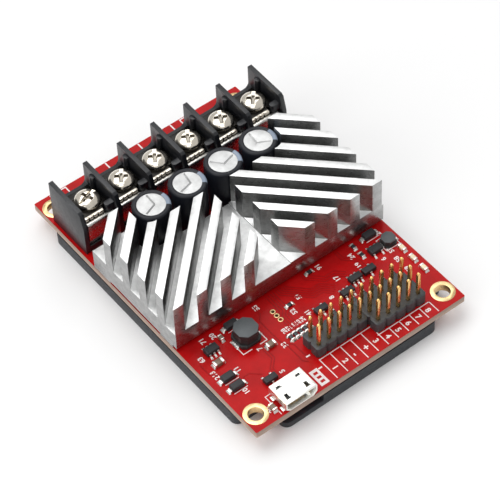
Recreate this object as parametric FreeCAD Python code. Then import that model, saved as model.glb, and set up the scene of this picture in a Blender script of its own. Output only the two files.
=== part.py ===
"""Two-channel motor driver module: a red circuit board between a moulded
bottom cover and a diagonally finned heatsink, with a six-way barrier terminal
block whose screws turn and whose clamps rise.

Millimetres, +Z up, the long side of the board along Y. The origin is under
the middle of the board, on the face that the bottom cover rests on.
The USB socket and pin headers are at -Y, the terminal block at +Y.
"""
import FreeCAD, Part
import math
import os

# ---- clearances --------------------------------------------------------
running_gap = 0.05          # radial, round a turning or sliding shaft
part_gap = 0.1              # between loose parts that must not touch
pin_gap = 0.12              # radial, round a lead in its board hole

# ---- terminal block: the board's width follows from it ------------------
terminal_count = 6
terminal_pitch = 8.4
terminal_wall = 1.0
terminal_depth = 11.6
terminal_height = 11.6
terminal_margin_left = 0.635
terminal_margin_right = 0.035
terminal_back_margin = 6.25
terminal_length = terminal_count * terminal_pitch + terminal_wall

# ---- circuit board ------------------------------------------------------
board_length = 73.91
board_width = terminal_length + terminal_margin_left + terminal_margin_right
board_thick = 1.6
board_gap = 0.5             # air between the cover's rim and the board
copper_thick = 0.06
mount_hole_dia = 3.175
mount_ring_width = 0.96
mount_inset_x = 2.665
mount_inset_y = 3.62
plating = 0.15

# ---- bottom cover -------------------------------------------------------
cover_height = 3.1
cover_wall = 1.6
cover_floor = 1.0
cover_notch_x = 6.8         # corner cut-outs that clear the mounting holes
cover_notch_y = 6.6
cover_corner_radius = 1.7
cover_usb_relief = 1.6

board_bottom = cover_height + board_gap
board_top = board_bottom + board_thick
half_w = board_width / 2
half_l = board_length / 2

# ---- heatsink -----------------------------------------------------------
heatsink_front_margin = 25.0     # board's front edge to the heatsink
heatsink_back_gap = 3.5          # heatsink to the terminal block
heatsink_height = 12.9
heatsink_base = 4.95
heatsink_front_lift = 0.7        # air under the front edge
heatsink_front_skirt = 1.4
fin_thick = 1.73
fin_gap = 2.3
fin_inner_gap = 2.3              # half of the corridor between both fin sets
fin_corner_gap_left = 4.65       # first fin, from the rear corner, along either edge
fin_corner_gap_right = 5.2
right_floor_step = 0.25
capacitor_pocket_depth = 7.4
capacitor_pocket_radius = 3.0
side_slot_height = 0.5
side_slot_depth = 2.0

# ---- fixing screws, from below into the heatsink -------------------------
fixing_dia = 2.4
fixing_head_dia = 4.4
fixing_head_height = 1.5
fixing_socket = 1.5
fixing_boss_dia = 6.6
fixing_inset_x = 4.4
fixing_inset_y = 3.1

# ---- power stage under the heatsink -------------------------------------
transistor_size = (5.0, 6.0, 1.0)
transistor_columns = 4
thermal_pad_thick = 0.7
shunt_size = (6.3, 2.6, 0.6)
controller_size = 10.0
driver_size = 5.0
chip_height = 0.95

# ---- capacitors ---------------------------------------------------------
capacitor_count = 4
capacitor_dia = 8.0
capacitor_height = 12.3
capacitor_gap = 0.93
capacitor_row_offset = 0.25
capacitor_wall_gap = 0.4
sleeve_thick = 0.15
sleeve_window_dia = 5.9
bung_height = 1.0
lead_dia = 0.6
lead_spacing = 3.5
lead_tail = 1.1             # how far leads stand out under the board

# ---- terminal metal -----------------------------------------------------
contact_top = 7.2
contact_thick = 1.0
contact_width = 6.4
contact_setback = 0.6
clamp_thick = 0.9
clamp_width = 6.2
screw_dia = 2.9
screw_head_dia = 5.4
screw_head_height = 1.75
screw_recess = 1.1
screw_setback = 5.1         # block's front face to the screw axis
rear_rim_height = 5.7

# ---- pin headers --------------------------------------------------------
pin_pitch = 2.54
pin_side = 0.64
pin_height = 8.5
header_columns = 5
header_right_margin = 8.0
header_front_margin = 5.0
signal_rows = 3
encoder_rows = 2
header_corner = 0.45        # bevel between neighbouring cells
header_tail_gap = 0.3       # cover to the pin tails under the board

# ---- USB socket ---------------------------------------------------------
usb_width = 7.5
usb_depth = 5.5
usb_height = 2.7
usb_sheet = 0.3
usb_left_margin = 11.0

solder_lift = 0.05


def box(x0, x1, y0, y1, z0, z1):
    """A block between two corners."""
    return Part.makeBox(x1 - x0, y1 - y0, z1 - z0, FreeCAD.Vector(x0, y0, z0))


def block(x, y, z, width, depth, height):
    """A block centred on x, y and standing on z."""
    return box(x - width / 2, x + width / 2, y - depth / 2, y + depth / 2, z, z + height)


def rod(x, y, z0, z1, dia):
    """A vertical cylinder."""
    return Part.makeCylinder(dia / 2, z1 - z0, FreeCAD.Vector(x, y, z0))


def tube(x, y, z0, z1, outer, inner):
    """A vertical tube."""
    return rod(x, y, z0, z1, outer).cut(rod(x, y, z0 - 1, z1 + 1, inner))


def prism(points, z0, z1):
    """A polygon in the XY plane, extruded upwards."""
    corners = [FreeCAD.Vector(x, y, z0) for x, y in points]
    face = Part.Face(Part.makePolygon(corners + corners[:1]))
    return face.extrude(FreeCAD.Vector(0, 0, z1 - z0))


def side_prism(points, x0, x1):
    """A polygon in the YZ plane, extruded along X."""
    corners = [FreeCAD.Vector(x0, y, z) for y, z in points]
    face = Part.Face(Part.makePolygon(corners + corners[:1]))
    return face.extrude(FreeCAD.Vector(x1 - x0, 0, 0))


def bevelled_square(x, y, size, bevel):
    """Corner points of a square with its four corners cut off."""
    half = size / 2
    return [(x - half, y - half + bevel), (x - half + bevel, y - half),
            (x + half - bevel, y - half), (x + half, y - half + bevel),
            (x + half, y + half - bevel), (x + half - bevel, y + half),
            (x - half + bevel, y + half), (x - half, y + half - bevel)]


def join(shapes):
    """One fused solid from several shapes."""
    whole = shapes[0]
    for shape in shapes[1:]:
        whole = whole.fuse(shape)
    return whole.removeSplitter()


def cut_all(shape, tools):
    """Cuts several tools from one shape."""
    return shape.cut(Part.makeCompound(tools))


def upright_edges(shape, chosen):
    """Edges parallel to Z whose place passes a test."""
    found = []
    for edge in shape.Edges:
        ends = edge.BoundBox
        upright = ends.XLength < 1e-6 and ends.YLength < 1e-6
        if upright and chosen(ends.XMin, ends.YMin):
            found.append(edge)
    return found


def save(name, shape):
    """Writes one sub-part, keeping separate solids separate."""
    shape.exportStep("parts/" + name + ".step")


def group(shapes):
    return Part.makeCompound(shapes)


# ---- places worked out from the sizes above ------------------------------
terminal_back = half_l - terminal_back_margin
terminal_front = terminal_back - terminal_depth
terminal_left = -half_w + terminal_margin_left
screw_y = terminal_front + screw_setback

heatsink_front = -half_l + heatsink_front_margin
heatsink_back = terminal_front - heatsink_back_gap
pocket_front = heatsink_back - capacitor_pocket_depth
floor_z = board_top + heatsink_base

capacitor_spacing = capacitor_dia + capacitor_gap
capacitor_y = pocket_front + capacitor_wall_gap + capacitor_dia / 2
capacitor_xs = [capacitor_row_offset + (i - (capacitor_count - 1) / 2) * capacitor_spacing
                for i in range(capacitor_count)]
pocket_half = ((capacitor_count - 1) * capacitor_spacing + capacitor_dia) / 2 + 0.5

fixing_places = [(sx * (half_w - fixing_inset_x), y)
                 for sx in (-1, 1)
                 for y in (heatsink_front + fixing_inset_y, heatsink_back - fixing_inset_y)]
mount_places = [(sx * (half_w - mount_inset_x), sy * (half_l - mount_inset_y))
                for sx in (-1, 1) for sy in (-1, 1)]

header_last_x = half_w - header_right_margin
signal_xs = [header_last_x - i * pin_pitch for i in range(header_columns)][::-1]
encoder_xs = [x - header_columns * pin_pitch for x in signal_xs]
header_front_row = -half_l + header_front_margin
signal_ys = [header_front_row + i * pin_pitch for i in range(signal_rows)]
encoder_ys = signal_ys[-encoder_rows:]
usb_x = -half_w + usb_left_margin
usb_front = -half_l


def bay_centre(index):
    """Middle of one way of the terminal block."""
    return terminal_left + terminal_wall / 2 + (index + 0.5) * terminal_pitch


def wall_centre(index):
    return terminal_left + terminal_wall / 2 + index * terminal_pitch


def from_left(distance):
    return -half_w + distance


def from_right(distance):
    return half_w - distance


def from_front(distance):
    return -half_l + distance


# ---- bottom cover -------------------------------------------------------
def cover_outline(inset, z0, z1):
    """The cover's cross shape: a full-width and a full-length block."""
    wide = box(-half_w + inset, half_w - inset,
               -half_l + cover_notch_y + inset, half_l - cover_notch_y - inset, z0, z1)
    long = box(-half_w + cover_notch_x + inset, half_w - cover_notch_x - inset,
               -half_l + inset, half_l - inset, z0, z1)
    return join([wide, long])


def header_tail_room(xs, ys):
    """Space in the cover for the pin tails of one header."""
    reach = pin_side / 2 + header_tail_gap
    return box(xs[0] - reach, xs[-1] + reach, ys[0] - reach, ys[-1] + reach,
               board_bottom - lead_tail - header_tail_gap, board_bottom + 1)


def make_bottom_cover():
    def on_outside(x, y):
        return abs(abs(x) - half_w) < 1e-6 or abs(abs(y) - half_l) < 1e-6

    body = cover_outline(0, 0, cover_height)
    body = body.makeFillet(cover_corner_radius, upright_edges(body, on_outside))
    body = body.cut(cover_outline(cover_wall, cover_floor, cover_height + 1))
    bosses = [rod(x, y, 0, board_bottom, fixing_boss_dia) for x, y in fixing_places]
    body = join([body] + bosses)
    tools = [rod(x, y, -1, board_bottom + 1, fixing_dia + 2 * pin_gap) for x, y in fixing_places]
    tools += [rod(x, y, -1, fixing_head_height + 0.4, fixing_head_dia + 2 * part_gap)
              for x, y in fixing_places]
    tools.append(box(usb_x - usb_width / 2 - 1.5, usb_x + usb_width / 2 + 1.5,
                     -half_l - 1, -half_l + cover_wall + 1,
                     cover_height - cover_usb_relief, cover_height + 1))
    tools += [header_tail_room(signal_xs, signal_ys), header_tail_room(encoder_xs, encoder_ys)]
    return cut_all(body, tools)


# ---- circuit board and what is plated into it ----------------------------
test_hole_places = [(from_left(20.4), from_front(20.9)),
                    (from_left(20.4), from_front(19.65)),
                    (from_left(20.4), from_front(18.4))]
test_hole_dia = 0.7


def header_pin_places():
    places = [(x, y) for y in signal_ys for x in signal_xs]
    places += [(x, y) for y in encoder_ys for x in encoder_xs]
    return places


def lead_places():
    return [(x, capacitor_y + side * lead_spacing / 2)
            for x in capacitor_xs for side in (-1, 1)]


def contact_pin_places():
    return [(bay_centre(i) + side * contact_width / 4,
             terminal_front + contact_setback + contact_thick / 2)
            for i in range(terminal_count) for side in (-1, 1)]


def make_circuit_board():
    def corner(x, y):
        return True

    board = box(-half_w, half_w, -half_l, half_l, board_bottom, board_top)
    board = board.makeFillet(0.3, upright_edges(board, corner))
    low, high = board_bottom - 1, board_top + 1
    pin_diagonal = pin_side * math.sqrt(2)
    tools = [rod(x, y, low, high, mount_hole_dia + 2 * plating) for x, y in mount_places]
    tools += [rod(x, y, low, high, fixing_dia + 2 * pin_gap) for x, y in fixing_places]
    tools += [rod(x, y, low, high, pin_diagonal + 2 * pin_gap) for x, y in header_pin_places()]
    tools += [rod(x, y, low, high, lead_dia + 2 * pin_gap) for x, y in lead_places()]
    tools += [rod(x, y, low, high, contact_thick * math.sqrt(2) + 2 * pin_gap)
              for x, y in contact_pin_places()]
    tools += [rod(x, y, low, high, test_hole_dia + 2 * plating) for x, y in test_hole_places]
    return cut_all(board, tools)


def plated_hole(x, y, hole_dia, ring_dia):
    """A plated barrel with a copper ring on both faces of the board."""
    low, high = board_bottom - copper_thick, board_top + copper_thick
    barrel = rod(x, y, low, high, hole_dia + 2 * plating)
    rings = [rod(x, y, low, board_bottom, ring_dia), rod(x, y, board_top, high, ring_dia)]
    return join([barrel] + rings).cut(rod(x, y, low - 1, high + 1, hole_dia))


def make_mounting_hole_rings():
    ring_dia = mount_hole_dia + 2 * mount_ring_width
    return group([plated_hole(x, y, mount_hole_dia, ring_dia) for x, y in mount_places])


def make_test_holes():
    return group([plated_hole(x, y, test_hole_dia, test_hole_dia + 0.45)
                  for x, y in test_hole_places])


# ---- heatsink -----------------------------------------------------------
def fin_strip(offset, side):
    """One long fin at 45 degrees; side is -1 for the left set, +1 for the right."""
    reach = board_width + board_length
    run = fin_thick * math.sqrt(2)
    points = [(-reach, offset + reach), (reach, offset - reach),
              (reach, offset - reach + run), (-reach, offset + reach + run)]
    points = [(side * x, y) for x, y in points]
    return prism(points, floor_z - 1, board_top + heatsink_height)


def fin_offsets(corner_gap):
    """Where each fin of a set crosses the board's middle line."""
    run = fin_thick * math.sqrt(2)
    step = (fin_thick + fin_gap) * math.sqrt(2)
    offset = half_w + heatsink_back - corner_gap - run
    shortest = heatsink_front + fin_inner_gap + run
    offsets = []
    while offset + run > shortest:
        offsets.append(offset)
        offset -= step
    return offsets


def make_heatsink():
    top = board_top + heatsink_height
    base = box(-half_w, half_w, heatsink_front, heatsink_back, board_top, floor_z)
    step = box(fin_inner_gap, half_w, heatsink_front, heatsink_back,
               floor_z - 1, floor_z + right_floor_step)
    pieces = [base, step]
    for side, corner_gap in ((-1, fin_corner_gap_left), (1, fin_corner_gap_right)):
        inner, outer = sorted((side * fin_inner_gap, side * half_w))
        field = box(inner, outer, heatsink_front, heatsink_back, floor_z - 1, top)
        for offset in fin_offsets(corner_gap):
            pieces.append(fin_strip(offset, side).common(field))
    body = join(pieces)

    pocket = box(-pocket_half, pocket_half, pocket_front, heatsink_back + 20,
                 board_top - 1, top + 1)
    pocket = pocket.makeFillet(capacitor_pocket_radius,
                               upright_edges(pocket, lambda x, y: y < heatsink_back))
    rail = half_w - pocket_half
    tools = [pocket]
    tools.append(box(-pocket_half, pocket_half,
                     heatsink_front + heatsink_front_skirt, pocket_front + 1,
                     board_top - 1, board_top + transistor_size[2] + thermal_pad_thick))
    tools.append(box(-half_w - 1, half_w + 1, heatsink_front - 1,
                     heatsink_front + heatsink_front_skirt,
                     board_top - 1, board_top + heatsink_front_lift))
    slot_y0 = heatsink_front + fixing_inset_y + fixing_dia
    slot_y1 = heatsink_back - fixing_inset_y - fixing_dia
    for side in (-1, 1):
        x0, x1 = sorted((side * (half_w - min(side_slot_depth, rail / 3)), side * (half_w + 1)))
        tools.append(box(x0, x1, slot_y0, slot_y1, board_top - 1, board_top + side_slot_height))
    tools += [rod(x, y, board_top - 1, board_top + heatsink_base - 0.6,
                  fixing_dia + 2 * running_gap) for x, y in fixing_places]
    return cut_all(body, tools)


def hex_socket(x, y, z0, z1, across):
    radius = across / math.sqrt(3)
    points = [(x + radius * math.cos(math.radians(60 * k)),
               y + radius * math.sin(math.radians(60 * k))) for k in range(6)]
    return prism(points, z0, z1)


def make_fixing_screws():
    screws = []
    head_z = 0.4
    tip_z = board_top + heatsink_base - 1.0
    for x, y in fixing_places:
        head = rod(x, y, head_z, head_z + fixing_head_height, fixing_head_dia)
        shank = rod(x, y, head_z + fixing_head_height, tip_z, fixing_dia)
        socket = hex_socket(x, y, head_z - 1, head_z + 0.8, fixing_socket)
        screws.append(join([head, shank]).cut(socket))
    return group(screws)


# ---- power stage ----------------------------------------------------------
power_y = (heatsink_front + heatsink_front_skirt + pocket_front) / 2 + 1.3
transistor_pitch = 2 * (pocket_half - 1.5) / transistor_columns
transistor_rows = (power_y - transistor_size[1] / 2 - 0.5, power_y + transistor_size[1] / 2 + 0.5)
transistor_xs = [(i - (transistor_columns - 1) / 2) * transistor_pitch
                 for i in range(transistor_columns)]


def make_power_transistors():
    width, depth, height = transistor_size
    return group([block(x, y, board_top, width, depth, height)
                  for x in transistor_xs for y in transistor_rows])


def make_thermal_pad():
    reach_x = transistor_xs[-1] + transistor_size[0] / 2 + 0.4
    return box(-reach_x, reach_x, transistor_rows[0] - transistor_size[1] / 2,
               transistor_rows[1] + transistor_size[1] / 2,
               board_top + transistor_size[2],
               board_top + transistor_size[2] + thermal_pad_thick)


def make_current_shunts():
    width, depth, height = shunt_size
    y = heatsink_front + heatsink_front_skirt + depth / 2 + 0.2
    return group([block(side * pocket_half / 2, y, board_top, width, depth, height)
                  for side in (-1, 1)])


def make_microcontroller():
    """Square chip with gull-wing leads, on the underside of the board."""
    x, y = from_left(29.0), from_front(20.0)
    top = board_bottom - solder_lift
    body = block(x, y, top - chip_height, controller_size, controller_size, chip_height)
    leads = []
    reach = controller_size / 2 + 0.9
    for k in range(11):
        shift = (k - 5) * 0.8
        leads.append(box(x - reach, x + reach, y + shift - 0.18, y + shift + 0.18,
                         top - 0.15, top))
        leads.append(box(x + shift - 0.18, x + shift + 0.18, y - reach, y + reach,
                         top - 0.15, top))
    return join([body] + leads)


def make_gate_drivers():
    top = board_bottom - solder_lift
    return group([block(side * pocket_half / 2, power_y, top - chip_height,
                        driver_size, driver_size, chip_height) for side in (-1, 1)])


# ---- capacitors -----------------------------------------------------------
def make_capacitor_can(x):
    can_dia = capacitor_dia - 2 * sleeve_thick
    z0 = board_top + bung_height
    z1 = board_top + capacitor_height - sleeve_thick
    can = rod(x, capacitor_y, z0, z1, can_dia)
    groove = Part.makeTorus(can_dia / 2 + 0.25, 0.6, FreeCAD.Vector(x, capacitor_y, z0 + 1.0))
    return can.cut(groove)


def make_capacitor_sleeve(x):
    z0, z1 = board_top + 0.35, board_top + capacitor_height
    inner = capacitor_dia - 2 * sleeve_thick
    wall = tube(x, capacitor_y, z0, z1, capacitor_dia, inner)
    rim = tube(x, capacitor_y, z1 - sleeve_thick, z1, capacitor_dia, sleeve_window_dia)
    body = join([wall, rim])
    edges = [e for e in body.Edges
             if abs(e.BoundBox.ZMin - z1) < 1e-6 and e.BoundBox.XLength > capacitor_dia - 0.01]
    return body.makeFillet(sleeve_thick * 0.8, edges)


def make_capacitor_bung(x):
    """Rubber seal with the two leads moulded through it."""
    seal_dia = capacitor_dia - 2 * sleeve_thick
    bung = rod(x, capacitor_y, board_top + solder_lift, board_top + bung_height, seal_dia)
    leads = [rod(x, capacitor_y + side * lead_spacing / 2,
                 board_bottom - lead_tail, board_top + bung_height, lead_dia)
             for side in (-1, 1)]
    return join([bung] + leads)


# ---- terminal block -------------------------------------------------------
def wall_profile():
    """Side view of a divider wall: level top, sloping nose, straight back."""
    base = board_top
    return [(terminal_front, base), (terminal_front, base + 7.4),
            (terminal_front + 0.9, base + 10.9), (terminal_front + 1.5, base + 11.3),
            (terminal_back, base + terminal_height), (terminal_back, base)]


def guide_post(bay):
    """Rounded post on the right-hand wall, beside the clamp's nose."""
    x1 = wall_centre(bay + 1) - terminal_wall / 2
    z0 = board_top + contact_top + part_gap
    z1 = board_top + contact_top + 1.9
    post_dia = 1.3
    x0 = x1 - 1.9
    y = terminal_front + 1.8
    return join([rod(x0 + post_dia / 2, y, z0, z1, post_dia),
                 box(x0 + post_dia / 2, x1 + 0.1, y - post_dia / 2, y + post_dia / 2, z0, z1)])


def rear_guide(bay):
    """Half-round rib on the right-hand wall, behind the screw."""
    x = wall_centre(bay + 1) - terminal_wall / 2
    z0 = board_top + contact_top + part_gap
    return rod(x, screw_y + 3.2, z0, board_top + 10.6, 1.5)


def rim_web(bay):
    """Concave web where the rear rim meets the right-hand wall."""
    x = wall_centre(bay + 1) - terminal_wall / 2
    radius = 1.4
    z0 = board_top + rear_rim_height - 0.5
    z1 = board_top + rear_rim_height
    slab = box(x - radius, x + 0.1, terminal_back - 1.3, terminal_back, z0, z1 + radius)
    hollow = Part.makeCylinder(radius, 4, FreeCAD.Vector(x - radius, terminal_back - 3,
                                                         z1 + radius),
                               FreeCAD.Vector(0, 1, 0))
    return slab.cut(hollow)


def make_terminal_housing():
    shelf = board_top + contact_top - contact_thick
    right = wall_centre(terminal_count)
    front_block = terminal_front + contact_setback + contact_thick
    pieces = [box(terminal_left, right, front_block, terminal_back - 1.3, board_top, shelf),
              box(terminal_left, right, terminal_back - 1.31, terminal_back,
                  board_top, board_top + rear_rim_height),
              box(terminal_left, right, terminal_front + 0.1, front_block + 0.1,
                  board_top, board_top + 1.6)]
    for i in range(terminal_count + 1):
        x = wall_centre(i)
        pieces.append(side_prism(wall_profile(), x - terminal_wall / 2, x + terminal_wall / 2))
    for i in range(terminal_count):
        pieces += [guide_post(i), rear_guide(i), rim_web(i)]
    body = join(pieces)
    tools = []
    for i in range(terminal_count):
        x = bay_centre(i)
        tools.append(rod(x, screw_y, board_top + 1.4, shelf + 1, screw_dia + 0.5))
        strap_y = terminal_front + contact_setback
        tools.append(box(x - contact_width / 2 - part_gap, x + contact_width / 2 + part_gap,
                         strap_y - part_gap, strap_y + contact_thick + part_gap,
                         board_top - 1, shelf + 0.01))
    return cut_all(body, tools)


def make_contact(bay):
    """Nickel strap: a plate under the clamp, bent down at the front into two pins."""
    x = bay_centre(bay)
    top = board_top + contact_top
    y0 = terminal_front + contact_setback
    half = contact_width / 2
    plate = box(x - half, x + half, y0, terminal_back - 1.9, top - contact_thick, top)
    strap = box(x - half, x + half, y0, y0 + contact_thick, board_top + 0.6, top)
    body = join([plate, strap])
    bend = [e for e in body.Edges
            if abs(e.BoundBox.YMin - y0) < 1e-6 and abs(e.BoundBox.YMax - y0) < 1e-6
            and abs(e.BoundBox.ZMin - top) < 1e-6]
    body = body.makeFillet(contact_thick * 0.45, bend)
    pins = [block(px, py, board_bottom - lead_tail, contact_thick * 0.95,
                  contact_thick * 0.95, board_top + 1.0 - board_bottom + lead_tail)
            for px, py in contact_pin_places() if abs(px - x) < contact_width]
    pins = [pin for pin in pins if abs(pin.CenterOfMass.x - x) < terminal_pitch / 2]
    return join([body] + pins).cut(rod(x, screw_y, top - 2, top + 1,
                                       screw_dia + 2 * running_gap))


def make_clamp(bay):
    """Pressure plate under the screw head, with a toothed nose."""
    x = bay_centre(bay)
    z0 = board_top + contact_top + part_gap
    z1 = z0 + clamp_thick
    half = clamp_width / 2
    nose_y = terminal_front + contact_setback + 0.8
    plate = box(x - half, x + half, screw_y - 2.6, screw_y + 2.4, z0, z1)
    nose = box(x - half, x + 1.3, nose_y, screw_y - 2, z0, z1)
    body = join([plate, nose])
    teeth = [prism([(tx - 0.25, nose_y - 0.1), (tx + 0.25, nose_y - 0.1), (tx, nose_y + 0.35)],
                   z0 - 1, z1 + 1) for tx in (x - 2.2, x - 1.1, x)]
    post_clear = box(x + 1.3, x + half + 1, terminal_front, terminal_front + 2.8, z0 - 1, z1 + 1)
    rib_clear = rod(wall_centre(bay + 1) - terminal_wall / 2, screw_y + 3.2,
                    z0 - 1, z1 + 1, 1.5 + 2 * 0.3)
    hole = rod(x, screw_y, z0 - 1, z1 + 1, screw_dia + 2 * running_gap)
    return cut_all(body, teeth + [post_clear, rib_clear, hole])


def make_screw(bay):
    """Pan-head screw with a combined cross and slot recess."""
    x = bay_centre(bay)
    z0 = board_top + contact_top + part_gap + clamp_thick + running_gap
    z1 = z0 + screw_head_height
    head = rod(x, screw_y, z0, z1, screw_head_dia)
    rim = [e for e in head.Edges if abs(e.BoundBox.ZMin - z1) < 1e-6]
    head = head.makeFillet(0.7, rim)
    shank = rod(x, screw_y, board_top + 2.0, z0 + 0.1, screw_dia)
    slot = block(x, screw_y, z1 - screw_recess, 0.7, screw_head_dia + 1, screw_recess + 1)
    cross = block(x, screw_y, z1 - screw_recess, 3.0, 0.8, screw_recess + 1)
    tool = join([slot, cross])
    tool.rotate(FreeCAD.Vector(x, screw_y, 0), FreeCAD.Vector(0, 0, 1), 20 + 47 * bay)
    return join([head, shank]).cut(tool)


# ---- pin headers ----------------------------------------------------------
def header_cell(x, y):
    """One octagonal cell of header plastic."""
    return prism(bevelled_square(x, y, pin_pitch, header_corner), board_top, board_top + pin_pitch)


def make_header_housing(xs, ys):
    body = join([header_cell(x, y) for x in xs for y in ys])
    holes = [block(x, y, board_top - 1, pin_side, pin_side, pin_pitch + 2)
             for x in xs for y in ys]
    return cut_all(body, holes)


def header_pin(x, y):
    """Square pin with tapered ends."""
    low, high = board_bottom - lead_tail, board_top + pin_height
    taper = 0.5
    pin = block(x, y, low, pin_side, pin_side, high - low)
    tip = Part.makeBox(pin_side * 2, pin_side * 2, taper * 2,
                       FreeCAD.Vector(x - pin_side, y - pin_side, high - taper))
    cone = Part.makeCone(pin_side * 0.75, pin_side * 0.3, taper * 1.001,
                         FreeCAD.Vector(x, y, high - taper))
    return pin.cut(tip.cut(cone))


def make_header_pins(xs, ys):
    return group([header_pin(x, y) for x in xs for y in ys])


# ---- USB socket -----------------------------------------------------------
def usb_section(inset, y0, y1):
    """The socket's tapered D section, shrunk by an inset."""
    half, z0 = usb_width / 2 - inset, board_top + solder_lift + inset
    z1 = board_top + solder_lift + usb_height - inset
    points = [(usb_x - half + 0.9, z0), (usb_x + half - 0.9, z0), (usb_x + half, z0 + 0.9),
              (usb_x + half, z1), (usb_x - half, z1), (usb_x - half, z0 + 0.9)]
    corners = [FreeCAD.Vector(x, y0, z) for x, z in points]
    face = Part.Face(Part.makePolygon(corners + corners[:1]))
    return face.extrude(FreeCAD.Vector(0, y1 - y0, 0))


def make_usb_shell():
    back = usb_front + usb_depth
    body = usb_section(0, usb_front, back)
    body = body.cut(usb_section(usb_sheet, usb_front - 1, back - usb_sheet))
    tabs = [block(usb_x + side * (usb_width / 2 - 0.4), usb_front + y, board_top,
                  1.4, 1.1, usb_sheet) for side in (-1, 1) for y in (1.2, 4.3)]
    return join([body] + tabs)


def make_usb_tongue():
    """Black insulator: a back block and the thin tongue that carries the contacts."""
    back = usb_front + usb_depth - usb_sheet
    half = usb_width / 2 - usb_sheet - part_gap
    z0 = board_top + solder_lift + usb_sheet
    z1 = z0 + usb_height - 2 * usb_sheet
    block_part = box(usb_x - half, usb_x + half, back - 1.6, back, z0 + 1.0, z1)
    tongue = box(usb_x - half + 1.2, usb_x + half - 1.2, usb_front + 0.6, back - 1.5,
                 z0 + 1.15, z0 + 1.75)
    return join([block_part, tongue])


def make_usb_contacts():
    """Five flat springs under the tongue."""
    z1 = board_top + solder_lift + usb_sheet + 1.15
    back = usb_front + usb_depth - usb_sheet
    return group([box(usb_x + k * 0.65 - 0.14, usb_x + k * 0.65 + 0.14,
                      usb_front + 0.9, back - 1.7, z1 - 0.15, z1)
                  for k in (-2, -1, 0, 1, 2)])


# ---- small surface-mounted parts ------------------------------------------
def leaded_chip(x, y, width, depth, height, leads_low, leads_high, along_x=True):
    """A small moulded package with flat feet on its two long sides."""
    lift = solder_lift
    body = block(x, y, board_top + lift, width, depth, height)
    feet = []
    for side, count in ((-1, leads_low), (1, leads_high)):
        for k in range(count):
            spread = 0.95 if count > 2 else 1.9
            shift = (k - (count - 1) / 2) * spread
            if along_x:
                feet.append(block(x + shift, y + side * (depth / 2 + 0.3), board_top,
                                  0.42, 0.75, 0.22))
            else:
                feet.append(block(x + side * (width / 2 + 0.3), y + shift, board_top,
                                  0.75, 0.42, 0.22))
    return body, feet


regulator_place = (from_left(5.2), from_front(20.8))
sot_places = [
    (from_left(9.75), from_front(8.1), 1, 2),
    (from_right(24.15), from_front(15.1), 1, 2),
    (from_right(17.4), from_front(15.2), 3, 3),
    (from_right(14.0), from_front(16.95), 3, 3),
    (from_right(10.6), from_front(16.85), 1, 2),
]
driver_place = (from_right(6.3), from_front(20.0))


def small_chips():
    """Bodies and feet of every small leaded package."""
    bodies, feet = [], []
    x, y = regulator_place
    packages = [leaded_chip(x, y, 2.9, 1.7, 1.1, 3, 3)]
    for x, y, low, high in sot_places:
        packages.append(leaded_chip(x, y, 2.9, 1.4, 1.0, low, high))
    x, y = driver_place
    packages.append(leaded_chip(x, y, 2.9, 1.7, 1.1, 2, 3))
    for body, chip_feet in packages:
        bodies.append(body)
        feet += [foot.cut(body) for foot in chip_feet]
    return bodies, feet


diode_length = 2.7
diode_depth = 1.6
diode_height = 1.1
diode_foot = 0.5
diode_places = [(from_left(3.7), from_front(13.6)),
                (from_left(3.8), from_front(10.9)),
                (from_left(11.9), from_front(heatsink_front_margin - 1.7)),
                (from_right(4.8), from_front(heatsink_front_margin - 1.25))]


def diode_body(x, y):
    body = block(x, y, board_top + solder_lift, diode_length, diode_depth, diode_height)
    top = [e for e in body.Edges if abs(e.BoundBox.ZMin - body.BoundBox.ZMax) < 1e-6]
    return body.makeChamfer(0.12, top)


def diode_caps(x, y):
    """Folded end caps of one diode."""
    reach = (diode_length + diode_foot) / 2
    return [block(x + side * reach, y, board_top, diode_foot, 0.65 * diode_depth, 0.45 * diode_height)
            for side in (-1, 1)]


ceramic_places = [
    (from_left(4.4), from_front(17.5), 2.2, 1.3),
    (from_left(14.95), from_front(14.6), 2.0, 1.25),
    (from_left(5.9), from_front(2.5), 1.0, 1.7),
    (from_left(8.4), from_front(21.9), 0.8, 1.3),
]
resistor_places = (
    [(from_left(19.2 + 1.15 * k), from_front(13.55), 0.8, 1.6) for k in range(5)]
    + [(from_left(23.9), from_front(20.0), 1.6, 0.8)]
    + [(from_right(20.0), from_front(24.0), 1.6, 0.8)]
    + [(from_right(22.6 - 2.54 * k), from_front(12.9), 0.8, 1.6) for k in range(7)]
    + [(from_right(9.1), from_front(d), 0.8, 1.4) for d in (20.8, 23.5)]
)
led_places = [(from_right(1.75), from_front(d)) for d in (17.0, 13.7, 10.4)]


def chip_part(x, y, width, depth, height):
    """A two-terminal chip: its ceramic middle and its two metal ends."""
    end = 0.22 * max(width, depth)
    lift = board_top + 0.02
    if width > depth:
        middle = block(x, y, lift, width - 2 * end, depth, height)
        ends = [block(x + side * (width - end) / 2, y, board_top, end, depth, height + 0.04)
                for side in (-1, 1)]
    else:
        middle = block(x, y, lift, width, depth - 2 * end, height)
        ends = [block(x, y + side * (depth - end) / 2, board_top, width, end, height + 0.04)
                for side in (-1, 1)]
    return middle, ends


def chip_set(places, height):
    middles, ends = [], []
    for x, y, width, depth in places:
        middle, metal = chip_part(x, y, width, depth, height)
        middles.append(middle)
        ends += metal
    return middles, ends


def drum_inductor(x, y, size, height, cap_size):
    """Ferrite drum: a square foot, a narrower wound waist and an eight-sided lid."""
    lid_bottom = board_top + (1 - inductor_lid) * height
    foot_top = board_top + inductor_lid * height
    foot = prism(bevelled_square(x, y, size, 0.16 * size), board_top + solder_lift, foot_top)
    waist = prism(bevelled_square(x, y, inductor_waist * size, 0.2 * size),
                  board_top + solder_lift, board_top + height - part_gap)
    lid = prism(bevelled_square(x, y, cap_size, 0.27 * cap_size), lid_bottom, board_top + height)
    return join([foot, waist, lid])


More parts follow.
